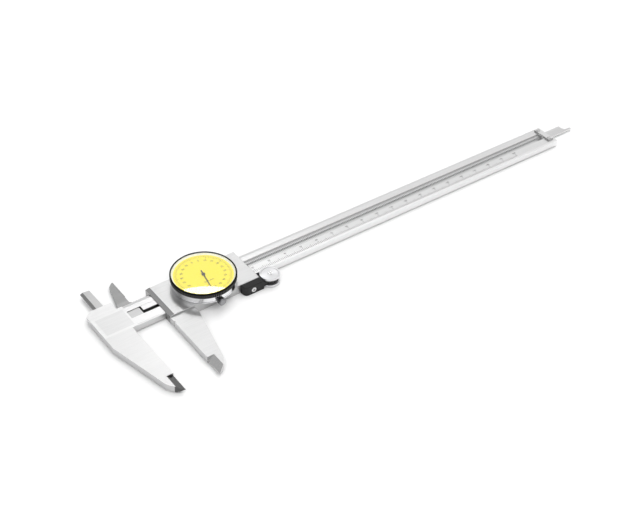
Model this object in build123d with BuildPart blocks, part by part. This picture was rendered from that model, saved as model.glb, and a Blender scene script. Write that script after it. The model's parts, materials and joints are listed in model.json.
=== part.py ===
from build123d import *
import math
import os

os.makedirs("parts", exist_ok=True)

# A 0-200 mm dial caliper lying dial up, its jaws open by `opening`.
# X runs along the beam, Y towards the inside jaws, Z up through the dial.
# The origin is the foot of the dial axis on the plane that the caliper rests on.

# Driving dimensions, in millimetres
opening = 18.53  # gap between the outside measuring faces
beam_width = 16.0
beam_thickness = 3.6
beam_reach = 282.5  # from the fixed measuring face to the far end
jaw_depth = 48.6  # from the beam's lower edge to the jaw tips
inside_jaw_height = 20.9  # from the beam's upper edge to the fixed inside tip
slider_length = 52.2
dial_offset = 26.7  # from the slider's front face to the dial axis
slider_lower_margin = 4.35  # slider wall outside the beam's lower edge
slider_upper_margin = 3.85
back_plate_thickness = 0.65
slider_plate_thickness = 0.85
running_gap = 0.05
bezel_radius = 16.9
case_radius = 16.6
case_height = 3.4
bezel_height = 2.85
rack_pitch = 1.0
rack_pinion_teeth = 10
drive_gear_teeth = 100
center_pinion_teeth = 10
gear_module = 0.13
dial_travel = 1.0  # slider travel for one turn of the pointer
roller_radius = 5.17
roller_rim_radius = 5.3

# Levels
beam_back = back_plate_thickness + running_gap
beam_front = beam_back + beam_thickness
plate_back = beam_front + running_gap
plate_front = plate_back + slider_plate_thickness
case_top = plate_front + case_height
bezel_foot = case_top + running_gap
bezel_top = bezel_foot + bezel_height

# Places along X and Y
slider_front = -dial_offset
slider_end = slider_front + slider_length
slider_middle = (slider_front + slider_end) / 2
fixed_face = slider_front - opening
beam_end = fixed_face + beam_reach
lower_edge = -beam_width / 2
upper_edge = beam_width / 2
slider_lower = lower_edge - slider_lower_margin
slider_upper = upper_edge + slider_upper_margin
tip_y = lower_edge - jaw_depth

UP = (0, 0, 1)
DOWN = (0, 0, -1)
TO_LOWER_SIDE = (0, -1, 0)
TO_UPPER_SIDE = (0, 1, 0)


def plane_at(x, y, z, normal):
    """A plane at a point, with its X along the beam."""
    return Plane(origin=(x, y, z), x_dir=(1, 0, 0), z_dir=normal)


def write(piece, name):
    """Labels a finished piece and writes it as a STEP file."""
    piece.part.label = name
    export_step(piece.part, f"parts/{name}.step")


def group(solids):
    """Separate solids joined into one piece."""
    with BuildPart() as piece:
        for solid in solids:
            add(solid)
    return piece


def screw(base, head_radius, head_height, shank_radius, shank_length, slot_width):
    """A slotted screw whose head stands on `base` and whose shank goes the other way."""
    with BuildPart() as piece:
        with BuildSketch(base):
            Circle(head_radius)
        extrude(amount=head_height)
        with BuildSketch(base):
            Circle(shank_radius)
        extrude(amount=-shank_length)
        with BuildSketch(base.offset(head_height)):
            Rectangle(3 * head_radius, slot_width)
        extrude(amount=-head_height / 2, mode=Mode.SUBTRACT)
    return piece.part


def thumb_screw(base, head_radius, head_length, neck, shank_radius, shank_length, flutes):
    """A thumb screw whose fluted head stands off `base` on a neck."""
    with BuildPart() as piece:
        with BuildSketch(base.offset(neck)):
            Circle(head_radius)
            with PolarLocations(head_radius + 0.05, flutes):
                Circle(0.16, mode=Mode.SUBTRACT)
        extrude(amount=head_length)
        with BuildSketch(base.offset(neck + head_length)):
            Circle(head_radius - 0.35)
        extrude(amount=0.25, taper=30)
        with BuildSketch(base.offset(-shank_length)):
            Circle(shank_radius)
        extrude(amount=shank_length + neck)
    return piece


def gear(base, teeth, root, outer, root_width, tip_width, thickness, bore, first_angle):
    """A spur gear with straight-sided teeth, the first one at `first_angle`."""
    outline = []
    for number in range(teeth):
        middle = math.radians(first_angle + 360 * number / teeth)
        for radius, width in ((root, -root_width), (outer, -tip_width), (outer, tip_width), (root, root_width)):
            angle = middle + width / 2 / radius
            outline.append((radius * math.cos(angle), radius * math.sin(angle)))
    with BuildPart() as piece:
        with BuildSketch(base):
            with BuildLine():
                Polyline(*outline, close=True)
            make_face()
            if bore:
                Circle(bore, mode=Mode.SUBTRACT)
        extrude(amount=thickness)
    return piece


def knife_cutter(face_x, side, start_y, end_y, width):
    """What a jaw loses to its knife edge at `face_x`; the jaw lies on `side` of it."""
    middle = (beam_front + beam_back) / 2
    land = 0.12
    beyond = 0.5
    with BuildPart() as cutter:
        with BuildSketch(plane_at(0, start_y, 0, TO_LOWER_SIDE)):
            for surface, way in ((beam_front, 1), (beam_back, -1)):
                with BuildLine():
                    Polyline(
                        (face_x + side * width, surface),
                        (face_x, middle + way * land),
                        (face_x - side * beyond, middle + way * land),
                        (face_x - side * beyond, surface + way * beyond),
                        (face_x + side * width, surface + way * beyond),
                        close=True,
                    )
                make_face()
        extrude(amount=start_y - end_y)
    return cutter.part


def inside_edge_cutter(edge_x, side, low, high, low_land, high_land, slope, start_y):
    """Bevels an inside jaw from `slope` behind its measuring edge at `edge_x`."""
    beyond = 0.5
    with BuildPart() as cutter:
        with BuildSketch(plane_at(0, start_y, 0, TO_LOWER_SIDE)):
            with BuildLine():
                Polyline(
                    (edge_x - side * beyond, low_land),
                    (edge_x, low_land),
                    (edge_x + side * slope, high_land),
                    (edge_x + side * slope, high),
                    (edge_x - side * beyond, high),
                    close=True,
                )
            make_face()
        extrude(amount=-inside_jaw_height)
    return cutter.part


# Beam with the fixed outside jaw and the fixed inside jaw
jaw_bevel_y = lower_edge - 37.8
jaw_bevel_width = 3.7
inside_edge = -9.0  # inside measuring edges, from each outside measuring face
groove_low = -2.28
groove_high = 3.2
groove_depth = 1.9
shallow_depth = 0.35
groove_start = fixed_face + 2.95
deep_start = fixed_face + 9.7
block_start = fixed_face + 10.5
block_end = fixed_face + 18.6
rod_low = -1.0
rod_high = 4.8
rod_side_gap = 0.08
rod_groove_start = fixed_face + 3.0
rod_groove_depth = 1.2
half_lap = beam_back + 1.75  # the inside jaws pass each other at this level
scale_bevel_width = 0.85
upper_bevel_width = 1.9
bevel_drop = 0.3
stop_x = fixed_face + 279.5
stop_screw_places = [(stop_x, -4.1), (stop_x, 4.9)]
fixed_knee = (fixed_face - 14.8, lower_edge - 7.8)
fixed_heel = (fixed_face - 6.6, lower_edge - 41.9)
fixed_shoulder_y = upper_edge + 5.6

fixed_knife = knife_cutter(fixed_face, -1, jaw_bevel_y, tip_y - 1, jaw_bevel_width)
fixed_inside_bevel = inside_edge_cutter(
    fixed_face + inside_edge, 1, half_lap, half_lap + 2, half_lap + 0.3, half_lap + 1.15, 1.4, fixed_shoulder_y
)
with BuildPart() as beam:
    with BuildSketch(Plane.XY.offset(beam_back)):
        with BuildLine():
            Polyline(
                fixed_heel,
                fixed_knee,
                (fixed_face - 14.9, upper_edge),
                (beam_end, upper_edge),
                (beam_end, lower_edge),
                (fixed_face, lower_edge),
                (fixed_face, tip_y),
            )
            RadiusArc((fixed_face, tip_y), fixed_heel, 14)
        make_face()
    extrude(amount=beam_thickness)
    knee_edges = beam.edges().filter_by(Axis.Z).sort_by_distance((*fixed_knee, beam_front))
    fillet(knee_edges[0], radius=5)
    with BuildSketch(Plane.XY.offset(half_lap)):
        with BuildLine():
            Polyline(
                (fixed_face, upper_edge - 0.1),
                (fixed_face, fixed_shoulder_y),
                (fixed_face - 11.2, fixed_shoulder_y),
                (fixed_face - 14.9, upper_edge + 3.0),
                (fixed_face - 14.9, upper_edge - 0.1),
                close=True,
            )
        make_face()
    extrude(amount=beam_front - half_lap)
    with BuildSketch(Plane.XY.offset(half_lap)):
        with BuildLine():
            Polyline(
                (fixed_face - 3.9, fixed_shoulder_y - 0.5),
                (fixed_face - 4.1, upper_edge + inside_jaw_height - 0.5),
                (fixed_face + inside_edge, upper_edge + inside_jaw_height),
                (fixed_face + inside_edge, fixed_shoulder_y - 0.5),
                close=True,
            )
        make_face()
    extrude(amount=1.15)
    add(fixed_inside_bevel, mode=Mode.SUBTRACT)
    add(fixed_knife, mode=Mode.SUBTRACT)
    for start, depth in ((groove_start, shallow_depth), (deep_start, groove_depth)):
        with BuildSketch(Plane.XY.offset(beam_front)):
            with Locations(((start + beam_end + 1) / 2, (groove_low + groove_high) / 2)):
                Rectangle(beam_end + 1 - start, groove_high - groove_low)
        extrude(amount=-depth, mode=Mode.SUBTRACT)
    with BuildSketch(Plane.XY.offset(beam_back)):
        with Locations(((rod_groove_start + beam_end + 1) / 2, (rod_low + rod_high) / 2)):
            Rectangle(beam_end + 1 - rod_groove_start, rod_high - rod_low + 2 * rod_side_gap)
    extrude(amount=rod_groove_depth, mode=Mode.SUBTRACT)
    with BuildSketch(Plane.YZ.offset(groove_start)):
        for edge, width in ((lower_edge, scale_bevel_width), (upper_edge, -upper_bevel_width)):
            with BuildLine():
                Polyline((edge + width, beam_front), (edge, beam_front - bevel_drop), (edge, beam_front), close=True)
            make_face()
    extrude(amount=beam_reach, mode=Mode.SUBTRACT)
    for place in stop_screw_places:
        with Locations(plane_at(*place, beam_front, UP)):
            Hole(radius=0.62, depth=1.7)
write(beam, "beam_with_fixed_jaw")

# Rack: a toothed strip on the upper side of the front groove
pinion_radius = rack_pitch * rack_pinion_teeth / (2 * math.pi)
gear_radius = gear_module * drive_gear_teeth / 2
center_radius = gear_module * center_pinion_teeth / 2
arbor_x = gear_radius + center_radius
rack_tip = pinion_radius - 0.21
rack_root = pinion_radius + 0.33
rack_start = block_end + 0.1
rack_length_in_teeth = int((stop_x - 1 - rack_start) / rack_pitch)
first_gap = arbor_x - math.floor((arbor_x - rack_start) / rack_pitch) * rack_pitch
rack_end = first_gap + rack_length_in_teeth * rack_pitch
rack_drop = 1.1  # the rack's face lies this far below the beam's
tooth_sides = ((0.22, rack_root), (0.37, rack_tip), (0.63, rack_tip), (0.78, rack_root))
teeth = [
    (first_gap + (number + along) * rack_pitch, across)
    for number in range(rack_length_in_teeth)
    for along, across in tooth_sides
]
with BuildPart() as rack:
    with BuildSketch(Plane.XY.offset(beam_front - groove_depth)):
        with BuildLine():
            Polyline(
                (rack_start, groove_high),
                (rack_start, rack_root),
                *teeth,
                (rack_end, rack_root),
                (rack_end, groove_high),
                close=True,
            )
        make_face()
    extrude(amount=groove_depth - rack_drop)
write(rack, "rack")

# Block that closes the near end of the rack, flush with the beam's face
block_low = -0.1
with BuildPart() as rack_end_block:
    with BuildSketch(Plane.XY.offset(beam_front - groove_depth)):
        with Locations(((block_start + block_end) / 2, (groove_high + block_low) / 2)):
            Rectangle(block_end - block_start, groove_high - block_low)
    extrude(amount=groove_depth)
    chamfer(rack_end_block.faces().sort_by(Axis.Z)[-1].edges(), length=0.12)
write(rack_end_block, "rack_end_block")

# Stop plate across the far end of the beam, and its screws
stop_thickness = 0.9
stop_low = -5.7
stop_high = upper_edge - 1.6
with BuildPart() as end_stop_plate:
    with BuildSketch(Plane.XY.offset(beam_front)):
        with Locations((stop_x, (stop_high + stop_low) / 2)):
            Rectangle(3.6, stop_high - stop_low)
    extrude(amount=stop_thickness)
    chamfer(end_stop_plate.faces().sort_by(Axis.Z)[-1].edges(), length=0.15)
    for place in stop_screw_places:
        with Locations(plane_at(*place, beam_front + stop_thickness, UP)):
            Hole(radius=0.62, depth=stop_thickness)
write(end_stop_plate, "end_stop_plate")
stop_screws = [
    screw(plane_at(*place, beam_front + stop_thickness, UP), 1.1, 0.4, 0.6, stop_thickness + 1.6, 0.25)
    for place in stop_screw_places
]
write(group(stop_screws), "end_stop_screws")

# Slider frame: a plate over the beam with two walls, the moving outside jaw and inside jaw
gib_start = slider_front + 4
gib_end = slider_front + 48
gib_slot = upper_edge + 1.15
side_screw_level = 2.5
slider_lock_x = 3.3
gib_screw_places = (gib_start + 6, gib_end - 6)
plate_screw_places = [
    (slider_front + 4, slider_lower + 1.9),
    (slider_end - 9, slider_lower + 1.9),
    (slider_front + 1.9, slider_upper - 1.4),
    (slider_end - 1.9, slider_upper - 1.4),
]
case_screw_places = [(-9.5, 6.5), (-9.5, -6.5), (10.5, 6.5), (10.5, -6.5)]
bracket_screw_x = 19.4
bracket_screw_level = 2.4
arbor_bush_radius = 2.1
center_bush_radius = 1.2
moving_heel = (slider_front + 6.7, lower_edge - 41.2)
jaw_root_y = slider_lower + 1

moving_knife = knife_cutter(slider_front, 1, jaw_bevel_y, tip_y - 1, jaw_bevel_width)
moving_inside_bevel = inside_edge_cutter(
    slider_front + inside_edge, -1, 0, beam_front, beam_back + 0.5, half_lap - 0.15, 1.5, upper_edge + 9.0
)
with BuildPart() as slider_frame:
    with BuildSketch(Plane.XY.offset(back_plate_thickness)):
        with Locations((slider_middle, (slider_lower + slider_upper) / 2)):
            Rectangle(slider_length, slider_upper - slider_lower)
    extrude(amount=plate_front - back_plate_thickness)
    top_ends = slider_frame.edges().filter_by(Axis.Y).group_by(Axis.Z)[-1].sort_by(Axis.X)
    chamfer(top_ends[0], length=0.6, length2=2.35)
    top_end = slider_frame.edges().filter_by(Axis.Y).group_by(Axis.Z)[-1].sort_by(Axis.X)[-1]
    chamfer(top_end, length=0.5)
    top_sides = slider_frame.edges().filter_by(Axis.X).group_by(Axis.Z)[-1]
    chamfer(top_sides, length=0.2)
    with BuildSketch(Plane.XY.offset(back_plate_thickness)):
        with Locations((slider_middle, 0)):
            Rectangle(slider_length + 2, beam_width + 2 * running_gap)
        with Locations(((gib_start + gib_end) / 2, (upper_edge + gib_slot) / 2)):
            Rectangle(gib_end - gib_start, gib_slot - upper_edge)
    extrude(amount=plate_back - back_plate_thickness, mode=Mode.SUBTRACT)
    with BuildSketch(Plane.XY.offset(beam_back)):
        with BuildLine():
            Polyline(
                (slider_front, tip_y),
                (slider_front, jaw_root_y),
                (slider_front + 13.7, jaw_root_y),
                (slider_front + 13.7, lower_edge - 8.9),
                moving_heel,
            )
            RadiusArc(moving_heel, (slider_front, tip_y), 14)
        make_face()
    extrude(amount=beam_thickness)
    add(moving_knife, mode=Mode.SUBTRACT)
    with BuildSketch(Plane.XY.offset(beam_back)):
        with BuildLine():
            Polyline(
                (slider_front + 3, upper_edge + running_gap),
                (slider_front - 16.6, upper_edge + running_gap),
                (slider_front - 16.6, upper_edge + 2.2),
                (slider_front - 12.6, upper_edge + 18.3),
                (slider_front + inside_edge, upper_edge + inside_jaw_height + 0.9),
                (slider_front + inside_edge, upper_edge + 9.0),
                (slider_front + inside_edge - 0.9, upper_edge + 9.0),
                (slider_front + inside_edge - 0.9, upper_edge + 3.0),
                (slider_front + inside_edge + 0.2, upper_edge + 1.9),
                (slider_front + 3, upper_edge + 1.9),
                close=True,
            )
        make_face()
    extrude(amount=half_lap - 0.15 - beam_back)
    add(moving_inside_bevel, mode=Mode.SUBTRACT)
    with Locations(plane_at(slider_front, lower_edge - 8, beam_front, UP)):
        Hole(radius=0.6, depth=beam_thickness)
    with Locations(plane_at(arbor_x, 0, plate_front, UP)):
        Hole(radius=arbor_bush_radius, depth=slider_plate_thickness)
    with Locations(plane_at(0, 0, plate_front, UP)):
        Hole(radius=center_bush_radius, depth=slider_plate_thickness)
    for x, radius in ((slider_lock_x, 1.02), (gib_screw_places[0], 0.98), (gib_screw_places[1], 0.98)):
        with Locations(plane_at(x, slider_upper, side_screw_level, TO_UPPER_SIDE)):
            Hole(radius=radius, depth=slider_upper - gib_slot + 0.05)
    with Locations(plane_at(bracket_screw_x, slider_lower, bracket_screw_level, TO_LOWER_SIDE)):
        Hole(radius=0.82, depth=3.4)
    for place in plate_screw_places:
        with Locations(plane_at(*place, back_plate_thickness, DOWN)):
            Hole(radius=0.62, depth=2.5)
    for place in case_screw_places:
        with Locations(plane_at(*place, plate_front, UP)):
            Hole(radius=0.72, depth=slider_plate_thickness)
write(slider_frame, "slider_frame")

# Back plate that keeps the slider on the beam, and the screws sunk into it
sink_radius = 1.2
sink_depth = 0.4
rod_screw_places = [(-16.0, 1.9), (-8.0, 1.9)]
with BuildPart() as back_plate:
    with BuildSketch(Plane.XY):
        with Locations((slider_middle, (slider_lower + slider_upper) / 2)):
            RectangleRounded(slider_length, slider_upper - slider_lower, 0.8)
    extrude(amount=back_plate_thickness)
    for place in plate_screw_places + rod_screw_places:
        with Locations(plane_at(*place, 0, DOWN)):
            CounterBoreHole(0.62, sink_radius, sink_depth, back_plate_thickness)
write(back_plate, "slider_back_plate")
for places, reach, name in (
    (plate_screw_places, 2.6, "back_plate_screws"),
    (rod_screw_places, 1.1, "depth_rod_screws"),
):
    screws = [screw(plane_at(*place, sink_depth, DOWN), 1.1, 0.33, 0.6, reach, 0.25) for place in places]
    write(group(screws), name)

# Depth rod in the beam's back groove, screwed to the back plate
rod_start = slider_front + 4
rod_tip = beam_end + opening
rod_thickness = 1.15
with BuildPart() as depth_rod:
    with BuildSketch(Plane.XY.offset(back_plate_thickness)):
        with BuildLine():
            Polyline(
                (rod_tip - 4.4, rod_high),
                (rod_start, rod_high),
                (rod_start, rod_low),
                (rod_tip, rod_low),
                (rod_tip, rod_low + 1.2),
                (rod_tip - 3.4, rod_low + 1.5),
            )
            RadiusArc((rod_tip - 3.4, rod_low + 1.5), (rod_tip - 4.4, rod_high), 3.4)
        make_face()
    extrude(amount=rod_thickness)
    for place in rod_screw_places:
        with Locations(plane_at(*place, back_plate_thickness, DOWN)):
            Hole(radius=0.62, depth=0.9)
write(depth_rod, "depth_rod")

# Gib strip between the upper wall and the beam, and its set screws
with BuildPart() as gib_strip:
    with BuildSketch(Plane.XY.offset(beam_back + 0.1)):
        with Locations(((gib_start + gib_end) / 2, (upper_edge + gib_slot) / 2)):
            Rectangle(gib_end - gib_start - 0.2, gib_slot - upper_edge - 2 * running_gap)
    extrude(amount=beam_thickness - 0.2)
    chamfer(gib_strip.edges().filter_by(Axis.Z), length=0.3)
write(gib_strip, "gib_strip")
set_screw_base = slider_upper - 0.9
gib_screws = [
    screw(
        plane_at(x, set_screw_base, side_screw_level, TO_UPPER_SIDE), 0.95, 0.6, 0.95, set_screw_base - gib_slot, 0.3
    )
    for x in gib_screw_places
]
write(group(gib_screws), "gib_screws")

# Thumb screw that locks the slider through the gib strip
slider_lock_base = plane_at(slider_lock_x, slider_upper, side_screw_level, TO_UPPER_SIDE)
slider_lock = thumb_screw(slider_lock_base, 2.3, 6.0, 0.9, 0.97, slider_upper - gib_slot, 26)
write(slider_lock, "slider_lock_screw")

# Dial case: a cup on the slider plate, with a spigot that carries the bezel
case_inner = 14.9
spigot_radius = 15.55
spigot_top = case_top + 0.45
case_floor = 0.5
floor_top = plate_front + case_floor
snap_groove_low = case_top + 0.13
snap_groove_high = case_top + 0.33
snap_groove_radius = 15.35
bezel_lock_base = plane_at(-1.2, -case_radius, plate_front + 1.5, TO_LOWER_SIDE)
with BuildPart() as dial_case:
    with BuildSketch(Plane.XZ):
        with BuildLine():
            Polyline(
                (0, plate_front),
                (case_radius - 0.5, plate_front),
                (case_radius - 0.1, plate_front + 0.3),
                (case_radius - 0.1, plate_front + 0.7),
                (case_radius - 0.45, plate_front + 0.8),
                (case_radius - 0.45, plate_front + 1.1),
                (case_radius, plate_front + 1.2),
                (case_radius, case_top - 0.1),
                (case_radius - 0.1, case_top),
                (spigot_radius, case_top),
                (spigot_radius, snap_groove_low),
                (snap_groove_radius, snap_groove_low),
                (snap_groove_radius, snap_groove_high),
                (spigot_radius, snap_groove_high),
                (spigot_radius, spigot_top),
                (case_inner, spigot_top),
                (case_inner, floor_top),
                (0, floor_top),
                close=True,
            )
        make_face()
    revolve(axis=Axis.Z)
    for x, radius in ((arbor_x, 2.6), (0, center_bush_radius)):
        with Locations(plane_at(x, 0, floor_top, UP)):
            Hole(radius=radius, depth=case_floor)
    for place in case_screw_places:
        with Locations(plane_at(*place, floor_top, UP)):
            Hole(radius=0.72, depth=case_floor)
    with Locations(bezel_lock_base):
        Hole(radius=0.74, depth=2.5)
write(dial_case, "dial_case")
case_screws = [
    screw(plane_at(*place, floor_top, UP), 1.3, 0.4, 0.7, case_floor + slider_plate_thickness, 0.3)
    for place in case_screw_places
]
write(group(case_screws), "case_screws")

# Thumb screw that locks the bezel
bezel_lock = thumb_screw(bezel_lock_base, 2.0, 2.3, 0.8, 0.7, 1.5, 24)
write(bezel_lock, "bezel_lock_screw")

# Bezel with its snap ring, dial face, rim ring and crystal
bezel_bore = 16.2
bezel_neck = 15.62
knurl_grooves = 110
dial_thickness = 0.35
crystal_top = bezel_top - 0.1
rim_top = crystal_top - 0.45
seat_level = rim_top - 0.7 - dial_thickness
with BuildPart() as bezel_ring:
    with BuildSketch(Plane.XZ):
        with BuildLine():
            Polyline(
                (bezel_neck, bezel_foot),
                (bezel_radius - 0.25, bezel_foot),
                (bezel_radius, bezel_foot + 0.25),
                (bezel_radius, bezel_top - 0.25),
                (bezel_radius - 0.25, bezel_top),
                (bezel_bore, bezel_top),
                (bezel_bore, seat_level),
                (bezel_neck, seat_level),
                (bezel_neck, snap_groove_high),
                (bezel_neck + 0.25, snap_groove_high),
                (bezel_neck + 0.25, snap_groove_low),
                (bezel_neck, snap_groove_low),
                close=True,
            )
        make_face()
    revolve(axis=Axis.Z)
    with BuildSketch(Plane.XY.offset(bezel_foot + 0.35)):
        with PolarLocations(bezel_radius + 0.1, knurl_grooves):
            Circle(0.3)
    extrude(amount=bezel_height - 0.7, mode=Mode.SUBTRACT)
write(bezel_ring, "bezel_ring")

with BuildPart() as snap_ring:
    with BuildSketch(Plane.XY.offset(snap_groove_low + 0.03)):
        Circle(bezel_neck + 0.22)
        Circle(snap_groove_radius + 0.05, mode=Mode.SUBTRACT)
        with Locations((0, bezel_neck)):
            Rectangle(3, 2, mode=Mode.SUBTRACT)
    extrude(amount=snap_groove_high - snap_groove_low - 0.06)
write(snap_ring, "bezel_snap_ring")

with BuildPart() as dial_face:
    with BuildSketch(Plane.XY.offset(seat_level)):
        Circle(bezel_bore)
        Circle(0.9, mode=Mode.SUBTRACT)
    extrude(amount=dial_thickness)
write(dial_face, "dial_face")

with BuildPart() as rim_ring:
    with BuildSketch(Plane.XZ):
        with BuildLine():
            Polyline(
                (15.2, seat_level + dial_thickness),
                (bezel_bore, seat_level + dial_thickness),
                (bezel_bore, rim_top),
                (15.95, rim_top),
                close=True,
            )
        make_face()
    revolve(axis=Axis.Z)
write(rim_ring, "dial_rim_ring")

with BuildPart() as crystal:
    with BuildSketch(Plane.XY.offset(rim_top)):
        Circle(bezel_bore)
    extrude(amount=crystal_top - rim_top)
    chamfer(crystal.edges().group_by(Axis.Z)[-1], length=0.2)
write(crystal, "crystal")

# Movement: bushes, and a bridge on three pillars
gear_level = plate_front + 1.1
bridge_level = plate_front + 2.3
bridge_thickness = 0.6
bridge_top = bridge_level + bridge_thickness
arbor_pivot = 0.38
center_pivot = 0.36
pillar_places = [(-6.5, 4.5), (-6.5, -4.5), (7.0, 8.5)]
bush_foot = plate_back + 0.02
lower_bushes = []
for x, outer, pivot, top in (
    (arbor_x, arbor_bush_radius, arbor_pivot + 0.1, plate_front + 0.3),
    (0, center_bush_radius, center_pivot, plate_front + 0.75),
):
    with BuildPart() as bush:
        with BuildSketch(Plane.XY.offset(bush_foot)):
            with Locations((x, 0)):
                Circle(outer)
                Circle(pivot + 0.04, mode=Mode.SUBTRACT)
        extrude(amount=top - bush_foot)
    lower_bushes.append(bush.part)
write(group(lower_bushes), "lower_bushes")

upper_bushes = []
for x, pivot in ((arbor_x, arbor_pivot), (0, center_pivot)):
    with BuildPart() as bush:
        with BuildSketch(Plane.XY.offset(bridge_level)):
            with Locations((x, 0)):
                Circle(0.9)
                Circle(pivot + 0.04, mode=Mode.SUBTRACT)
        extrude(amount=bridge_thickness + 0.1)
    upper_bushes.append(bush.part)
write(group(upper_bushes), "upper_bushes")

with BuildPart() as movement_bridge:
    with BuildSketch(Plane.XY.offset(bridge_level)):
        with BuildLine():
            Polyline((-8.4, -6.2), (-4.6, -6.4), (9.4, -2.2), (9.0, 10.4), (5.2, 10.4), (-8.4, 6.4), close=True)
        make_face()
    extrude(amount=bridge_thickness)
    fillet(movement_bridge.edges().filter_by(Axis.Z), radius=1.3)
    for place, radius in [((0, 0), 0.9), ((arbor_x, 0), 0.9)] + [(place, 0.52) for place in pillar_places]:
        with Locations(plane_at(*place, bridge_top, UP)):
            Hole(radius=radius, depth=bridge_thickness)
write(movement_bridge, "movement_bridge")

pillars = []
for place in pillar_places:
    with BuildPart() as pillar:
        with BuildSketch(plane_at(*place, floor_top, UP)):
            Circle(1.0)
            Circle(0.52, mode=Mode.SUBTRACT)
        extrude(amount=bridge_level - floor_top)
    pillars.append(pillar.part)
write(group(pillars), "bridge_pillars")
bridge_screws = [screw(plane_at(*place, bridge_top, UP), 0.9, 0.3, 0.5, 2.0, 0.2) for place in pillar_places]
write(group(bridge_screws), "bridge_screws")

# Pinion arbor: the rack pinion below the slider plate, the shaft and two pivots
pinion_level = beam_front - groove_depth + 0.15
pinion_height = groove_depth - rack_drop - 0.2
rack_pinion = gear(
    plane_at(arbor_x, 0, pinion_level, UP), rack_pinion_teeth, 1.22, pinion_radius + 0.2, 0.5, 0.16,
    pinion_height, 0, 90,
)
with BuildPart() as pinion_arbor:
    add(rack_pinion.part)
    for radius, foot, top in (
        (arbor_pivot + 0.1, pinion_level, gear_level),
        (0.8, plate_front + 0.4, gear_level),
        (0.6, gear_level, bridge_level - 0.1),
        (arbor_pivot, bridge_level - 0.1, bridge_top),
    ):
        with BuildSketch(Plane.XY.offset(foot)):
            with Locations((arbor_x, 0)):
                Circle(radius)
        extrude(amount=top - foot)
write(pinion_arbor, "pinion_arbor")

# Drive gear, the spring-turned second gear that takes up backlash, and the spring between them
gear_root = gear_radius - 0.16
gear_outer = gear_radius + 0.1
gear_thickness = 0.35
second_level = gear_level + gear_thickness + 0.18
for level, name in ((gear_level, "drive_gear"), (second_level, "anti_backlash_gear")):
    wheel = gear(
        plane_at(arbor_x, 0, level, UP), drive_gear_teeth, gear_root, gear_outer, 0.2, 0.08, gear_thickness, 0.6, 0
    )
    write(wheel, name)
with BuildPart() as backlash_spring:
    with BuildSketch(Plane.XY.offset(gear_level + gear_thickness)):
        with Locations((arbor_x, 0)):
            Circle(3.4)
            Circle(3.1, mode=Mode.SUBTRACT)
        with Locations((arbor_x + 3.2, 0)):
            Rectangle(1.5, 1.6, mode=Mode.SUBTRACT)
    extrude(amount=0.18)
write(backlash_spring, "backlash_spring")

# Center pinion, whose shaft carries the pointer
pointer_level = seat_level + dial_thickness + 0.15
center_teeth = gear(
    plane_at(0, 0, gear_level - 0.05, UP), center_pinion_teeth, center_radius - 0.16, center_radius + 0.1,
    0.19, 0.07, 1.05, 0, 180 / center_pinion_teeth,
)
with BuildPart() as center_pinion:
    add(center_teeth.part)
    with BuildSketch(Plane.XY.offset(plate_back + 0.1)):
        Circle(center_pivot)
    extrude(amount=pointer_level - plate_back - 0.1)
write(center_pinion, "center_pinion")

# Pointer, turned clockwise from the top of the dial by the part of a turn that the opening gives
pointer_angle = math.radians(90 - 360 * (opening / dial_travel % 1))
pointer_way = (math.cos(pointer_angle), math.sin(pointer_angle), 0)
pointer_plane = Plane(origin=(0, 0, pointer_level), x_dir=pointer_way, z_dir=UP)
with BuildPart() as pointer:
    with BuildSketch(pointer_plane):
        with BuildLine():
            Polyline((-3.2, 0.3), (-3.2, -0.3), (0, -0.34), (9.6, -0.2), (12.2, 0), (9.6, 0.2), (0, 0.34), close=True)
        make_face()
    extrude(amount=0.15)
    with BuildSketch(pointer_plane):
        Circle(0.95)
    extrude(amount=0.3)
write(pointer, "pointer")

# Roller bracket: a block screwed to the lower wall, with an arm between the roller's discs
roller_x = slider_end + 5.5
roller_y = lower_edge - roller_radius - 0.03
hub_radius = 2.4
bracket_back = 0.1
bracket_depth = 4.05
bracket_low = slider_lower - bracket_depth
bracket_start = slider_front + 40.7
bracket_end = slider_end - 0.1
bracket_screw_base = plane_at(bracket_screw_x, bracket_low, bracket_screw_level, TO_LOWER_SIDE)
socket_head_radius = 1.4
socket_seat = 1.0
arm_bottom = 1.65
arm_top = 4.4
with BuildPart() as roller_bracket:
    with BuildSketch(Plane.XY.offset(bracket_back)):
        with Locations(((bracket_start + bracket_end) / 2, slider_lower - bracket_depth / 2)):
            Rectangle(bracket_end - bracket_start, bracket_depth)
    extrude(amount=plate_front - bracket_back)
    corner = roller_bracket.edges().filter_by(Axis.Z).sort_by_distance((bracket_start, bracket_low, plate_front))
    fillet(corner[0], radius=2.5)
    chamfer(roller_bracket.faces().sort_by(Axis.Z)[-1].edges(), length=0.2)
    with BuildSketch(Plane.XY.offset(arm_bottom)):
        with Locations(((bracket_end - 2 + roller_x) / 2, slider_lower - bracket_depth / 2)):
            Rectangle(roller_x - bracket_end + 2, bracket_depth - 0.2)
        with Locations((roller_x, roller_y)):
            Circle(4.3)
    extrude(amount=arm_top - arm_bottom)
    with Locations(plane_at(roller_x, roller_y, arm_top, UP)):
        Hole(radius=hub_radius + 0.05, depth=arm_top - arm_bottom)
    with Locations(bracket_screw_base):
        CounterBoreHole(0.82, socket_head_radius + 0.25, socket_seat, bracket_depth)
write(roller_bracket, "roller_bracket")
with BuildPart() as bracket_screw:
    with BuildSketch(bracket_screw_base.offset(-socket_seat)):
        Circle(socket_head_radius)
    extrude(amount=socket_seat + 0.1)
    with BuildSketch(bracket_screw_base.offset(-socket_seat)):
        Circle(0.8)
    extrude(amount=socket_seat - bracket_depth - 3.2)
    chamfer(bracket_screw.faces().sort_by(Axis.Y)[0].edges(), length=0.15)
    with BuildSketch(bracket_screw_base.offset(0.1)):
        RegularPolygon(radius=0.75, side_count=6)
    extrude(amount=-0.7, mode=Mode.SUBTRACT)
write(bracket_screw, "bracket_screw")

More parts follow.
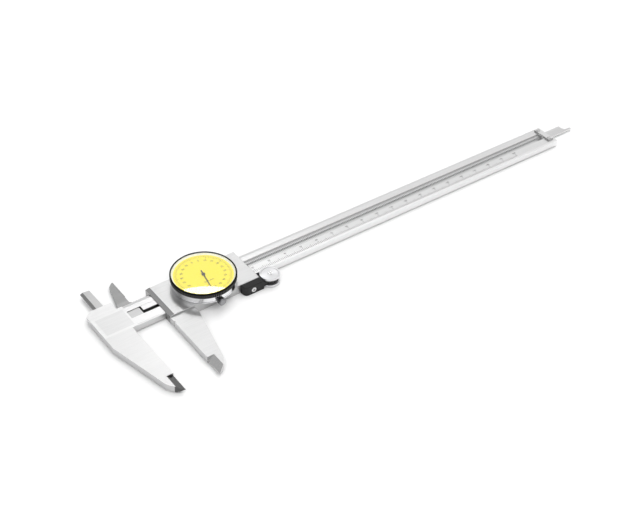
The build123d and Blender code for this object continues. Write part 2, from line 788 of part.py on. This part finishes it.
# Thumb roller: a lower disc with its hub, an upper disc, and the screw that holds them together
rim_grooves = 56
disc_gap = 0.08
lower_disc_foot = 0.25
lower_disc_top = arm_bottom - disc_gap
upper_disc_foot = arm_top + disc_gap
upper_disc_top = plate_front + 0.3


def roller_disc(radius, foot, top, dish):
    """A disc with a grooved rim and a shallow dish in its outer face."""
    with BuildPart() as disc:
        with BuildSketch(plane_at(roller_x, roller_y, foot, UP)):
            Circle(radius)
            with PolarLocations(radius + 0.03, rim_grooves):
                Circle(0.13, mode=Mode.SUBTRACT)
        extrude(amount=top - foot)
        if dish:
            with BuildSketch(plane_at(roller_x, roller_y, top, UP)):
                Circle(radius - 0.8)
            extrude(amount=-dish, taper=40, mode=Mode.SUBTRACT)
    return disc


with BuildPart() as lower_disc:
    add(roller_disc(roller_radius, lower_disc_foot, lower_disc_top, 0).part)
    with BuildSketch(plane_at(roller_x, roller_y, lower_disc_top, UP)):
        Circle(hub_radius)
    extrude(amount=upper_disc_foot - lower_disc_top)
    with Locations(plane_at(roller_x, roller_y, upper_disc_foot, UP)):
        Hole(radius=0.62, depth=2.6)
write(lower_disc, "roller_lower_disc")
with BuildPart() as upper_disc:
    add(roller_disc(roller_rim_radius, upper_disc_foot, upper_disc_top, 0.2).part)
    with Locations(plane_at(roller_x, roller_y, upper_disc_top, UP)):
        Hole(radius=0.62, depth=upper_disc_top - upper_disc_foot)
write(upper_disc, "roller_upper_disc")
roller_screw = screw(plane_at(roller_x, roller_y, upper_disc_top - 0.2, UP), 1.2, 0.3, 0.6, 2.9, 0.25)
write(group([roller_screw]), "roller_screw")
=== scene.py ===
"""A dial caliper on a pale studio floor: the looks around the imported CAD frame."""

import json
import math

import bmesh
import bpy
from mathutils import Matrix, Vector


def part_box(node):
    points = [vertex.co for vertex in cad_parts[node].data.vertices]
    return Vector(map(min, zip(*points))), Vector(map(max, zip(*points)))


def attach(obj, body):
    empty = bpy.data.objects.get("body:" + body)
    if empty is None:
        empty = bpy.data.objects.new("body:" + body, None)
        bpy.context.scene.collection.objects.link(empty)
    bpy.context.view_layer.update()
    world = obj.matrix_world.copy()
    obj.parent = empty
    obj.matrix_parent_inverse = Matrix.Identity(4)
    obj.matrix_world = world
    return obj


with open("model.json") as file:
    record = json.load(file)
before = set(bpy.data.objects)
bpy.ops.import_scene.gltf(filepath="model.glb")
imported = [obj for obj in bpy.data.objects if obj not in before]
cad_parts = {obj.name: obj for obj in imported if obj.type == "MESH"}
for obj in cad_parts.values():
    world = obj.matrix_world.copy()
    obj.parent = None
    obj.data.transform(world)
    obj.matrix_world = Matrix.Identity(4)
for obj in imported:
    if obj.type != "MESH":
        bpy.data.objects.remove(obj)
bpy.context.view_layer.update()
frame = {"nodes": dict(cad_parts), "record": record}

MM = 0.001


def limits(node):
    """A CAD node's lowest and highest corners, in millimetres."""
    low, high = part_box(node)
    return low / MM, high / MM


beam_high = limits("beam_with_fixed_jaw")[1]
face_high = limits("dial_face")[1]
crystal_high = limits("crystal")[1]
back_low, back_high = limits("slider_back_plate")
block_low, block_high = limits("rack_end_block")
bezel_low, bezel_high = limits("bezel_ring")
roller_low, roller_high = limits("roller_upper_disc")


# ---------------------------------------------------------------- materials


class Nodes:
    """Shorthand for building the node tree of a new material, or of the world `owner`."""

    def __init__(self, name, owner=None):
        self.material = owner or bpy.data.materials.new(name)
        self.material.use_nodes = True
        self.tree = self.material.node_tree
        self.tree.nodes.clear()
        self.output = self.add("ShaderNodeOutputWorld" if owner else "ShaderNodeOutputMaterial")

    def feed(self, socket, value):
        """Links an input to the output `value`, or sets it to the plain `value`."""
        if isinstance(value, bpy.types.NodeSocket):
            self.tree.links.new(value, socket)
        else:
            socket.default_value = value

    def add(self, kind, settings=None, **inputs):
        """A node with attributes from `settings`, and inputs by name."""
        node = self.tree.nodes.new(kind)
        for key, value in (settings or {}).items():
            setattr(node, key, value)
        for key, value in inputs.items():
            self.feed(node.inputs[key.replace("_", " ")], value)
        return node

    def math(self, operation, *values):
        """The result of one Math node."""
        node = self.add("ShaderNodeMath", {"operation": operation})
        for socket, value in zip(node.inputs, values):
            self.feed(socket, value)
        return node.outputs[0]

    def vector(self, operation, *values):
        """One Vector Math node, with its inputs."""
        node = self.add("ShaderNodeVectorMath", {"operation": operation})
        for socket, value in zip(node.inputs, values):
            self.feed(socket, value)
        return node

    def coordinates(self, scale=(1, 1, 1)):
        """Object coordinates in millimetres, stretched by `scale`."""
        place = self.add("ShaderNodeTexCoord").outputs["Object"]
        mapping = self.add("ShaderNodeMapping", Vector=place, Scale=tuple(s / MM for s in scale))
        return mapping.outputs["Vector"]

    def radius(self, center=(0, 0)):
        """The distance in millimetres from the upright axis at `center`."""
        place = self.add("ShaderNodeTexCoord").outputs["Object"]
        moved = self.vector("SUBTRACT", place, (center[0] * MM, center[1] * MM, 0))
        flat = self.vector("MULTIPLY", moved.outputs["Vector"], (1 / MM, 1 / MM, 0))
        return self.vector("LENGTH", flat.outputs["Vector"]).outputs["Value"]

    def noise(self, place, size, detail=2.0, roughness=0.5):
        """Noise whose features are about `size` millimetres across."""
        grain = {"Scale": 1 / size, "Detail": detail, "Roughness": roughness}
        return self.add("ShaderNodeTexNoise", Vector=place, **grain).outputs["Fac"]

    def blend(self, factor, low, high):
        """A colour or a number that goes from `low` to `high` with `factor`."""
        if not isinstance(low, tuple):
            return self.add("ShaderNodeMapRange", Value=factor, To_Min=low, To_Max=high).outputs["Result"]
        share = self.add("ShaderNodeMapRange", Value=factor).outputs["Result"]
        mix = self.add("ShaderNodeMix", {"data_type": "RGBA"})
        for index, value in ((0, share), (6, (*low, 1)), (7, (*high, 1))):
            self.feed(mix.inputs[index], value)
        return mix.outputs[2]

    def between(self, value, low, high, edge):
        """1 where `value` lies between two limits, with soft edges."""
        rise = self.add("ShaderNodeMapRange", Value=value, From_Min=low - edge, From_Max=low + edge)
        fall = self.add("ShaderNodeMapRange", Value=value, From_Min=high + edge, From_Max=high - edge)
        return self.math("MULTIPLY", rise.outputs["Result"], fall.outputs["Result"])

    def inside(self, low, high):
        """1 inside a box given by its corners in millimetres."""
        place = self.add("ShaderNodeSeparateXYZ", Vector=self.coordinates())
        result = None
        for axis, bottom, top in zip("XYZ", low, high):
            span = self.between(place.outputs[axis], bottom, top, ZONE_EDGE)
            result = span if result is None else self.math("MULTIPLY", result, span)
        return result

    def upward(self):
        """How far the surface faces up or down, from 0 to 1."""
        normal = self.add("ShaderNodeNewGeometry").outputs["True Normal"]
        return self.math("ABSOLUTE", self.add("ShaderNodeSeparateXYZ", Vector=normal).outputs["Z"])

    def mix_number(self, factor, low, high):
        """A number mixed from two others, either of which may be a socket."""
        mix = self.add("ShaderNodeMix", {"data_type": "FLOAT"})
        for index, value in ((0, factor), (2, low), (3, high)):
            self.feed(mix.inputs[index], value)
        return mix.outputs[0]

    def tint(self, factor, color, shade):
        """`color` multiplied by the grey `shade` where `factor` is 1."""
        mix = self.add("ShaderNodeMix", {"data_type": "RGBA", "blend_type": "MULTIPLY"})
        for index, value in ((0, factor), (6, color), (7, (shade, shade, shade, 1))):
            self.feed(mix.inputs[index], value)
        return mix.outputs[2]

    def bump(self, height, depth, strength=1.0):
        """A normal from a height that is `depth` millimetres deep."""
        node = self.add("ShaderNodeBump", Height=height, Strength=strength, Distance=depth * MM)
        return node.outputs["Normal"]

    def principled(self, **inputs):
        """Ends the tree in a Principled shader."""
        shader = self.add("ShaderNodeBsdfPrincipled", **inputs)
        self.feed(self.output.inputs["Surface"], shader.outputs[0])
        return self.material


def ground_steel(name, grain, light, dark, roughness, tone_and_shade_zones=(), bevels=None, shaded_sides=None, tooth_gap_shade=None):
    """Satin-ground steel, its fine scratches long where `grain` is small.

    Each zone is (low corner, high corner, tone): a box in millimetres that is darker, for the tone of an
    etched panel and for painted shade on a blade, a front end, a knife edge and in a recess. `bevels` is a
    box where sloping faces are lapped finer. The box for the sides paints shade on upright faces, and the
    box for the ribs paints a dark line of shade at each tooth gap.
    """
    n = Nodes(name)
    scratches = n.noise(n.coordinates(grain), 0.05, 3.0, 0.6)
    streaks = n.noise(n.coordinates(grain), 0.5, 2.0, 0.5)
    handling = n.noise(n.coordinates(), 9.0, 4.0, 0.6)
    tone = n.math("ADD", n.math("MULTIPLY", scratches, 0.4), n.math("MULTIPLY", streaks, 0.6))
    color = n.blend(tone, dark, light)
    rough = n.blend(n.math("MULTIPLY", n.math("ADD", scratches, handling), 0.5), *roughness)
    # each box darkens the colour: a panel's own tone, and painted shade where a part lies in shade
    for low, high, shade in tone_and_shade_zones:
        color = n.tint(n.inside(low, high), color, shade)
    if bevels:
        bevel = n.math("MULTIPLY", n.between(n.upward(), *BEVEL_SLOPE, 0.01), n.inside(*bevels))
        rough = n.mix_number(bevel, rough, BEVEL_ROUGHNESS)
    # painted shade: upright faces inside the box are darkened
    if shaded_sides:
        low, high, shade = shaded_sides
        side_shade = n.math("MULTIPLY", n.between(n.upward(), *UPRIGHT_SLOPE, 0.05), n.inside(low, high))
        color = n.tint(side_shade, color, shade)
    # painted shade: a dark line at each tooth gap, one per rack pitch
    if tooth_gap_shade:
        low, high, shade = tooth_gap_shade
        place = n.add("ShaderNodeSeparateXYZ", Vector=n.coordinates())
        wave = n.math("SINE", n.math("MULTIPLY", place.outputs["X"], math.tau / RACK_PITCH))
        gap_shade = n.math("MULTIPLY", n.blend(wave, 0.0, 1.0), n.inside(low, high))
        color = n.tint(gap_shade, color, shade)
    scored = n.bump(scratches, SCRATCH_DEPTH, 0.5)
    return n.principled(Base_Color=color, Metallic=1.0, Roughness=rough, Normal=scored)


def turned_metal(name, center, light, dark, roughness, ring=0.12, stretch=0.0):
    """Metal turned on a lathe: fine rings around the upright axis at `center`.

    The rings draw a highlight out across themselves, by as much as `stretch`.
    """
    n = Nodes(name)
    one_way = {"noise_dimensions": "1D"}
    rings = n.add("ShaderNodeTexNoise", one_way, W=n.radius(center), Scale=1 / ring, Detail=3.0)
    handling = n.noise(n.coordinates(), 3.0, 3.0)
    return n.principled(
        Base_Color=n.blend(rings.outputs["Fac"], dark, light),
        Metallic=1.0,
        Roughness=n.blend(handling, *roughness),
        Normal=n.bump(rings.outputs["Fac"], SCRATCH_DEPTH, 0.4),
        Anisotropic=stretch,
        Anisotropic_Rotation=0.25,
        Tangent=n.add("ShaderNodeTangent", {"direction_type": "RADIAL", "axis": "Z"}).outputs["Tangent"],
    )


def coated(name, color, worn, roughness, grain, depth):
    """Paint, blacking or moulded plastic with a fine grain."""
    n = Nodes(name)
    fine = n.noise(n.coordinates(), grain, 3.0, 0.6)
    broad = n.noise(n.coordinates(), grain * 14, 3.0)
    return n.principled(
        Base_Color=n.blend(broad, color, worn),
        Roughness=n.blend(fine, *roughness),
        Normal=n.bump(fine, depth, 0.5),
    )


def knurled(name, color, worn, roughness):
    """Black enamel, grey on the ridges of the bezel's knurl: partly rubbed wear, partly a painted
    highlight.
    """
    n = Nodes(name)
    ridge = n.between(n.radius(), bezel_high.x - RIDGE_WORN_AND_LIT, FAR, 0.03)
    # grey ridge tips in the knurl band: partly wear, partly painted highlight
    worn_and_highlit = n.math("MULTIPLY", ridge, n.blend(n.noise(n.coordinates(), 0.6, 3.0), 0.3, 1.0))
    level = n.add("ShaderNodeSeparateXYZ", Vector=n.coordinates()).outputs["Z"]
    middle = (bezel_low.z + bezel_high.z) / 2
    band = n.between(level, bezel_low.z + 0.3, middle + 0.6, 0.1)  # the knurl, clear of both rims
    fine = n.noise(n.coordinates(), 0.15, 3.0, 0.6)
    return n.principled(
        Base_Color=n.blend(n.math("MULTIPLY", worn_and_highlit, band), color, worn),
        Specular_IOR_Level=0.12,
        Roughness=n.blend(fine, *roughness),
        Normal=n.bump(fine, 0.002, 0.5),
    )


def clear_crystal(name):
    """Thin flat glass: see-through, with a mirror share that grows at a slant."""
    n = Nodes(name)
    facing = n.add("ShaderNodeLayerWeight", Blend=0.5).outputs["Facing"]
    share = n.math("MULTIPLY_ADD", n.math("POWER", facing, 5.0), 1 - GLASS_MIRROR, GLASS_MIRROR)
    clear = n.add("ShaderNodeBsdfTransparent", Color=(0.985, 0.99, 0.985, 1))
    smear = n.noise(n.coordinates(), 6.0, 3.0)
    mirror = n.add("ShaderNodeBsdfGlossy", Color=(1, 1, 1, 1), Roughness=n.blend(smear, 0.004, 0.012))
    mix = n.add("ShaderNodeMixShader")
    for socket, value in zip(mix.inputs, (share, clear.outputs[0], mirror.outputs[0])):
        n.feed(socket, value)
    n.feed(n.output.inputs["Surface"], mix.outputs[0])
    return n.material


# Lengths in millimetres; slopes are the upward part of a face's normal
ALONG_X = (0.04, 1, 1)
EVEN = (1, 1, 1)
SCRATCH_DEPTH = 0.004
ZONE_EDGE = 0.05
BEVEL_SLOPE = (0.88, 0.975)
BEVEL_ROUGHNESS = 0.07
UPRIGHT_SLOPE = (-1.0, 0.5)
RIDGE_WORN_AND_LIT = 0.035
GLASS_MIRROR = 0.08
RACK_PITCH = 1.0
FAR = 1000.0
LOWEST = (-FAR, -FAR, -FAR)
HIGHEST = (FAR, FAR, FAR)
HALF_BEAM = 8.0
FACE_TO_END = 282.5  # from the fixed measuring face to the far end of the beam
KNIFE_START = -45.8  # the knife edges at the outside jaws' tips lie below this Y
BEAM_BLADE_START = 13.7  # the inside jaws' ground blades lie above these
SLIDER_BLADE_START = 12.6
BEVELS_END = 12  # lapped bevels lie below this Y
PLATE_FOOT = 5.0
fixed_face = beam_high.x - FACE_TO_END
skin = beam_high.z - 0.1
groove_top = beam_high.z - 0.2
groove_wall = HALF_BEAM - 1
slider_front = back_low.x
slider_wall = -HALF_BEAM - 4
roller_center = (roller_low + roller_high) / 2
beam_tone_and_shade_zones = (
    # the etched panel where the two fixed jaws meet
    ((fixed_face - 13, -6.5, skin), (fixed_face + 2, 6.0, FAR), 0.9),
    # painted shade on the inside jaw's blade
    ((-FAR, BEAM_BLADE_START, -FAR), (fixed_face + 3, FAR, FAR), 0.7),
    # the outside jaw's face
    ((-FAR, -FAR, skin), (fixed_face + 2, -HALF_BEAM, FAR), 0.92),
    # painted shade in the shallow and the deep part of the groove
    ((fixed_face + 3, -groove_wall, -FAR), (0, groove_wall, groove_top), 0.7),
    ((0, -groove_wall, -FAR), (FAR, groove_wall, groove_top), 0.92),
    # painted shade on the knife edge at the outside jaw's tip
    ((fixed_face - 4, -FAR, -FAR), (fixed_face + 1, KNIFE_START, beam_high.z - 0.05), 0.2),
    # painted shade in the pocket around the rack's end block
    ((block_low.x - 0.3, block_low.y - 0.3, -FAR), (block_high.x + 1, block_high.y, skin - 0.02), 0.2),
)
slider_tone_and_shade_zones = (
    # painted shade on the inside jaw's blade
    ((-FAR, SLIDER_BLADE_START, -FAR), (slider_front - 3.3, FAR, FAR), 0.48),
    # the plate
    ((slider_front + 0.7, slider_wall, PLATE_FOOT), HIGHEST, 0.94),
    # painted shade on the front end and its slope
    ((-FAR, slider_wall, -FAR), (slider_front + 2.3, SLIDER_BLADE_START, FAR), 0.55),
    # the outside jaw's face
    ((-FAR, -FAR, skin), (FAR, slider_wall - 0.4, FAR), 0.93),
)
materials = {
    "beam_steel": ground_steel(
        "beam_steel", ALONG_X, (0.9,) * 3, (0.72,) * 3, (0.26, 0.36), beam_tone_and_shade_zones,
        bevels=(LOWEST, (FAR, BEVELS_END, FAR)),
        # painted shade on the beam's upright faces below its middle
        shaded_sides=(LOWEST, (-HALF_BEAM, FAR, FAR), 0.72),
        # painted shade in the groove, a dark line at each tooth gap of the rack
        tooth_gap_shade=((block_high.x, -2.3, -FAR), (FAR, 3.3, groove_top), 0.84),
    ),
    "slider_steel": ground_steel(
        "slider_steel", ALONG_X, (0.79,) * 3, (0.59,) * 3, (0.26, 0.36), slider_tone_and_shade_zones,
        bevels=(LOWEST, (FAR, BEVELS_END, FAR)),
        # painted shade on all the slider's upright faces
        shaded_sides=(LOWEST, HIGHEST, 0.85),
    ),
    "rack_steel": ground_steel(
        # painted shade at each tooth gap
        "rack_steel", ALONG_X, (0.98,) * 3, (0.92,) * 3, (0.45, 0.55), tooth_gap_shade=(LOWEST, HIGHEST, 0.84)
    ),
    "screw_steel": ground_steel("screw_steel", EVEN, (0.82,) * 3, (0.68,) * 3, (0.16, 0.26)),
    "spring_steel": ground_steel("spring_steel", EVEN, (0.5, 0.5, 0.52), (0.4, 0.4, 0.42), (0.2, 0.3)),
    "gear_steel": ground_steel("gear_steel", EVEN, (0.66, 0.66, 0.68), (0.55, 0.55, 0.57), (0.25, 0.35)),
    # the bezel's lock knob is chrome; this dark steel paints in the dark surroundings it mirrors, a painted
    # reflection
    "lock_steel": ground_steel("lock_steel", EVEN, (0.34, 0.34, 0.35), (0.22, 0.22, 0.23), (0.14, 0.22)),
    "case_chrome": turned_metal(
        "case_chrome", (0, 0), (0.88, 0.88, 0.89), (0.82, 0.82, 0.83), (0.02, 0.06), ring=0.4
    ),
    "knob_chrome": turned_metal(
        "knob_chrome", roller_center, (0.84, 0.84, 0.85), (0.72, 0.72, 0.73), (0.26, 0.34), stretch=0.85
    ),
    "gib_brass": ground_steel("gib_brass", ALONG_X, (0.8, 0.6, 0.3), (0.72, 0.53, 0.25), (0.3, 0.4)),
    "movement_brass": ground_steel(
        "movement_brass", EVEN, (0.82, 0.62, 0.32), (0.72, 0.53, 0.25), (0.25, 0.35)
    ),
    "bezel_black": knurled("bezel_black", (0.002,) * 3, (0.14,) * 3, (0.25, 0.36)),
    "bracket_black": coated("bracket_black", (0.002,) * 3, (0.005,) * 3, (0.5, 0.62), 0.12, 0.01),
    "pointer_black": coated(
        "pointer_black", (0.012, 0.01, 0.01), (0.03, 0.02, 0.02), (0.4, 0.55), 0.1, 0.002
    ),
    "dial_yellow": coated("dial_yellow", (1.0, 0.83, 0.02), (1.0, 0.86, 0.04), (0.45, 0.55), 0.08, 0.001),
    "rim_white": coated("rim_white", (0.96, 0.96, 0.87), (0.98, 0.98, 0.93), (0.3, 0.4), 0.2, 0.002),
    "crystal_clear": clear_crystal("crystal_clear"),
}

slots = {entry["node"]: entry["material_slot"] for entry in frame["record"]["subparts"]}
for node, piece in frame["nodes"].items():
    piece.data.materials.clear()
    piece.data.materials.append(materials[slots[node]])


# ------------------------------------------------------- marks and lettering


def add_piece(name, shape, body, slot_name):
    """Makes a bmesh in metres into a piece that rides on `body`."""
    mesh = bpy.data.meshes.new(name)
    shape.to_mesh(mesh)
    shape.free()
    piece = bpy.data.objects.new(name, mesh)
    bpy.context.scene.collection.objects.link(piece)
    mesh.materials.append(materials[slot_name])
    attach(piece, body)


def finish_piece(name, build, body, slot_name):
    """Makes a piece from what `build` puts in a bmesh in millimetres."""
    shape = bmesh.new()
    build(shape)
    bmesh.ops.scale(shape, vec=(MM, MM, MM), verts=shape.verts)
    bmesh.ops.recalc_face_normals(shape, faces=shape.faces)
    add_piece(name, shape, body, slot_name)


def bar(shape, center, size, angle=0.0):
    """A block in a bmesh, turned by `angle` about the vertical."""
    place = Matrix.Translation(center) @ Matrix.Rotation(angle, 4, "Z") @ Matrix.Diagonal((*size, 1))
    bmesh.ops.create_cube(shape, size=1.0, matrix=place)


INK_RISE = 0.015
INK_SINK = 0.02


def mark_length(count, tenth, fifth, other):
    """The length of a scale's mark: the tenths are longest, and then the fifths."""
    return tenth if count % 10 == 0 else fifth if count % 5 == 0 else other


def number_text(words, height, place):
    """Flat lettering as a text object, its middle at `place`, in millimetres."""
    curve = bpy.data.curves.new("numeral", "FONT")
    curve.body = words
    curve.size = height * MM
    curve.align_x = "CENTER"
    curve.align_y = "CENTER"
    curve.extrude = (INK_RISE + INK_SINK) / 2 * MM
    curve.resolution_u = 4
    text = bpy.data.objects.new("numeral", curve)
    bpy.context.scene.collection.objects.link(text)
    text.matrix_world = Matrix.Translation(Vector(place) * MM)
    return text


def lettering(name, texts, body, slot_name):
    """Joins text objects into one piece."""
    bpy.context.view_layer.update()
    shape = bmesh.new()
    for text in texts:
        letters = bpy.data.meshes.new_from_object(text.evaluated_get(bpy.context.evaluated_depsgraph_get()))
        letters.transform(text.matrix_world)
        shape.from_mesh(letters)
        bpy.data.meshes.remove(letters)
        bpy.data.objects.remove(text)
    add_piece(name, shape, body, slot_name)


# Beam scale: one mark a millimetre, read at the slider's far end
BEAM_SCALE = 200
OPENING = 18.53  # the gap between the jaws at rest
BEAM_MARK_WIDTH = 0.14
SCALE_FOOT = -7.05  # the foot of the marks, just inside the beam's lower bevel
SCALE_NUMBERS = -3.6
scale_zero = back_high.x - OPENING
ink_level = beam_high.z + (INK_RISE - INK_SINK) / 2


def beam_marks(shape):
    for millimetre in range(BEAM_SCALE + 1):
        length = mark_length(millimetre, 2.6, 2.0, 1.4)
        middle = (scale_zero + millimetre, SCALE_FOOT + length / 2, ink_level)
        bar(shape, middle, (BEAM_MARK_WIDTH, length, INK_RISE + INK_SINK))


finish_piece("beam_scale_marks", beam_marks, "beam", "pointer_black")
beam_numbers = []
for number in range(0, BEAM_SCALE + 1, 10):
    beam_numbers.append(number_text(str(number), 1.5, (scale_zero + number, SCALE_NUMBERS, ink_level)))
lettering("beam_scale_numbers", beam_numbers, "beam", "pointer_black")

# Dial: a hundred marks, a number at every fifth
DIAL_MARKS = 100
DIAL_MARK_WIDTH = 0.13
MARKS_REACH = 14.4
NUMBERS_REACH = 11.0
face_ink = face_high.z + (INK_RISE - INK_SINK) / 2


def dial_marks(shape):
    for mark in range(DIAL_MARKS):
        angle = math.tau / 4 - math.tau * mark / DIAL_MARKS
        length = mark_length(mark, 1.9, 1.6, 1.1)
        reach = MARKS_REACH - length / 2
        middle = (reach * math.cos(angle), reach * math.sin(angle), face_ink)
        bar(shape, middle, (length, DIAL_MARK_WIDTH, INK_RISE + INK_SINK), angle)


finish_piece("dial_marks", dial_marks, "bezel", "pointer_black")
dial_numbers = []
for fifth in range(0, DIAL_MARKS, 5):
    around = math.tau / 4 - math.tau * fifth / DIAL_MARKS
    spot = (NUMBERS_REACH * math.cos(around), NUMBERS_REACH * math.sin(around), face_ink)
    dial_numbers.append(number_text(str(fifth), 1.7, spot))
dial_numbers.append(number_text("0.01 mm", 1.5, (0, -5.5, face_ink)))
lettering("dial_numbers", dial_numbers, "bezel", "pointer_black")


# ------------------------------------------------------------ floor, light, camera


def floor_material():
    """Smooth white paper."""
    n = Nodes("studio_floor")
    fine = n.noise(n.coordinates(), 2.0, 3.0)
    return n.principled(Base_Color=n.blend(fine, (0.9, 0.9, 0.9), (0.92, 0.92, 0.92)), Roughness=0.9)


FLOOR_REACH = 3.0
floor_mesh = bpy.data.meshes.new("studio_floor")
corners = [(x * FLOOR_REACH, y * FLOOR_REACH, 0) for x, y in ((-1, -1), (1, -1), (1, 1), (-1, 1))]
floor_mesh.from_pydata(corners, [], [(0, 1, 2, 3)])
floor_mesh.materials.append(floor_material())
floor = bpy.data.objects.new("studio_floor", floor_mesh)
bpy.context.scene.collection.objects.link(floor)


def direction(azimuth, elevation):
    """A unit vector; azimuth runs clockwise from +Y, both in degrees."""
    a, e = math.radians(azimuth), math.radians(elevation)
    return Vector((math.sin(a) * math.cos(e), math.cos(a) * math.cos(e), math.sin(e)))


# Each panel is its azimuth, its elevation, the angles where it starts to fade and is gone, and its strength
TENT_LEVEL = 0.12
TENT_PANELS = (
    (45, 38, 22, 40, 0.76),
    (0, 90, 16, 40, 0.6),
    (-150, 45, 25, 50, 0.55),
    (120, 45, 20, 45, 0.35),
    (-100, 40, 18, 32, 0.55),
    (-14, 52, 14, 30, 0.4),
)


def studio_world():
    """A soft tent around the scene: dim, with brighter panels."""
    world = bpy.data.worlds.new("studio")
    n = Nodes("studio", world)
    toward = n.add("ShaderNodeTexCoord").outputs["Generated"]
    level = TENT_LEVEL
    for azimuth, elevation, full, faded, strength in TENT_PANELS:
        panel = n.add(
            "ShaderNodeMapRange",
            {"interpolation_type": "SMOOTHSTEP"},
            Value=n.vector("DOT_PRODUCT", toward, direction(azimuth, elevation)).outputs["Value"],
            From_Min=math.cos(math.radians(faded)),
            From_Max=math.cos(math.radians(full)),
            To_Max=strength,
        )
        level = n.math("ADD", panel.outputs["Result"], level)
    background = n.add("ShaderNodeBackground", Color=(1, 1, 1, 1), Strength=level)
    n.feed(n.output.inputs["Surface"], background.outputs[0])
    return world


bpy.context.scene.world = studio_world()


def lamp(name, shape, place, target, size, power):
    """An area light that faces `target`; places and sizes are in metres."""
    light = bpy.data.lights.new(name, "AREA")
    light.shape = shape
    light.size, light.size_y = size
    light.energy = power
    holder = bpy.data.objects.new(name, light)
    bpy.context.scene.collection.objects.link(holder)
    holder.location = place
    holder.rotation_euler = (Vector(place) - Vector(target)).to_track_quat("Z", "Y").to_euler()
    holder.visible_camera = False
    return holder


SOFTBOX_ELEVATION = 63
SOFTBOX_DISTANCE = 1.3
SOFTBOX_SIZE = (0.9, 0.9)
SOFTBOXES = (("key_softbox", 60, 4.3), ("front_softbox", 170, 2.9), ("left_softbox", -110, 2.9))
for name, azimuth, power in SOFTBOXES:
    place = direction(azimuth, SOFTBOX_ELEVATION) * SOFTBOX_DISTANCE
    softbox = lamp(name, "RECTANGLE", place, (0, 0, 0), SOFTBOX_SIZE, power)
    softbox.visible_glossy = False  # polished faces mirror the tent alone

CAMERA_AZIMUTH = -37.067
CAMERA_ELEVATION = 39.606
CAMERA_ROLL = 1.706
CAMERA_PLACE = Vector((-246.97, -422.90, 426.81)) * MM

# A round lamp far behind, whose lower edge shows in the near part of the crystal
GLARE_OFFSET = 33.4  # from the dial axis to the middle of the lamp's image, towards the camera
GLARE_DISTANCE = 1.5
GLARE_SIZE = (0.186, 0.104)
glare_level = crystal_high.z * MM
toward_camera = Vector((CAMERA_PLACE.x, CAMERA_PLACE.y, 0)).normalized()
glare_spot = toward_camera * GLARE_OFFSET * MM + Vector((0, 0, glare_level))
mirrored = glare_spot - Vector((CAMERA_PLACE.x, CAMERA_PLACE.y, 2 * glare_level - CAMERA_PLACE.z))
glare_place = glare_spot + mirrored.normalized() * GLARE_DISTANCE
lamp("round_lamp", "ELLIPSE", glare_place, glare_spot, GLARE_SIZE, 0.25)

camera_data = bpy.data.cameras.new("camera")
camera_data.sensor_width = 36.0
camera_data.lens = 72.26
camera_data.clip_start = 0.01
camera = bpy.data.objects.new("camera", camera_data)
bpy.context.scene.collection.objects.link(camera)
backward = direction(180 - CAMERA_AZIMUTH, CAMERA_ELEVATION)
rightward = direction(90 - CAMERA_AZIMUTH, 0)
turn = Matrix((rightward, backward.cross(rightward), backward)).transposed().to_4x4()
roll = Matrix.Rotation(math.radians(CAMERA_ROLL), 4, "Z")
camera.matrix_world = Matrix.Translation(CAMERA_PLACE) @ turn @ roll
bpy.context.scene.camera = camera
bpy.context.scene.view_settings.view_transform = "Standard"
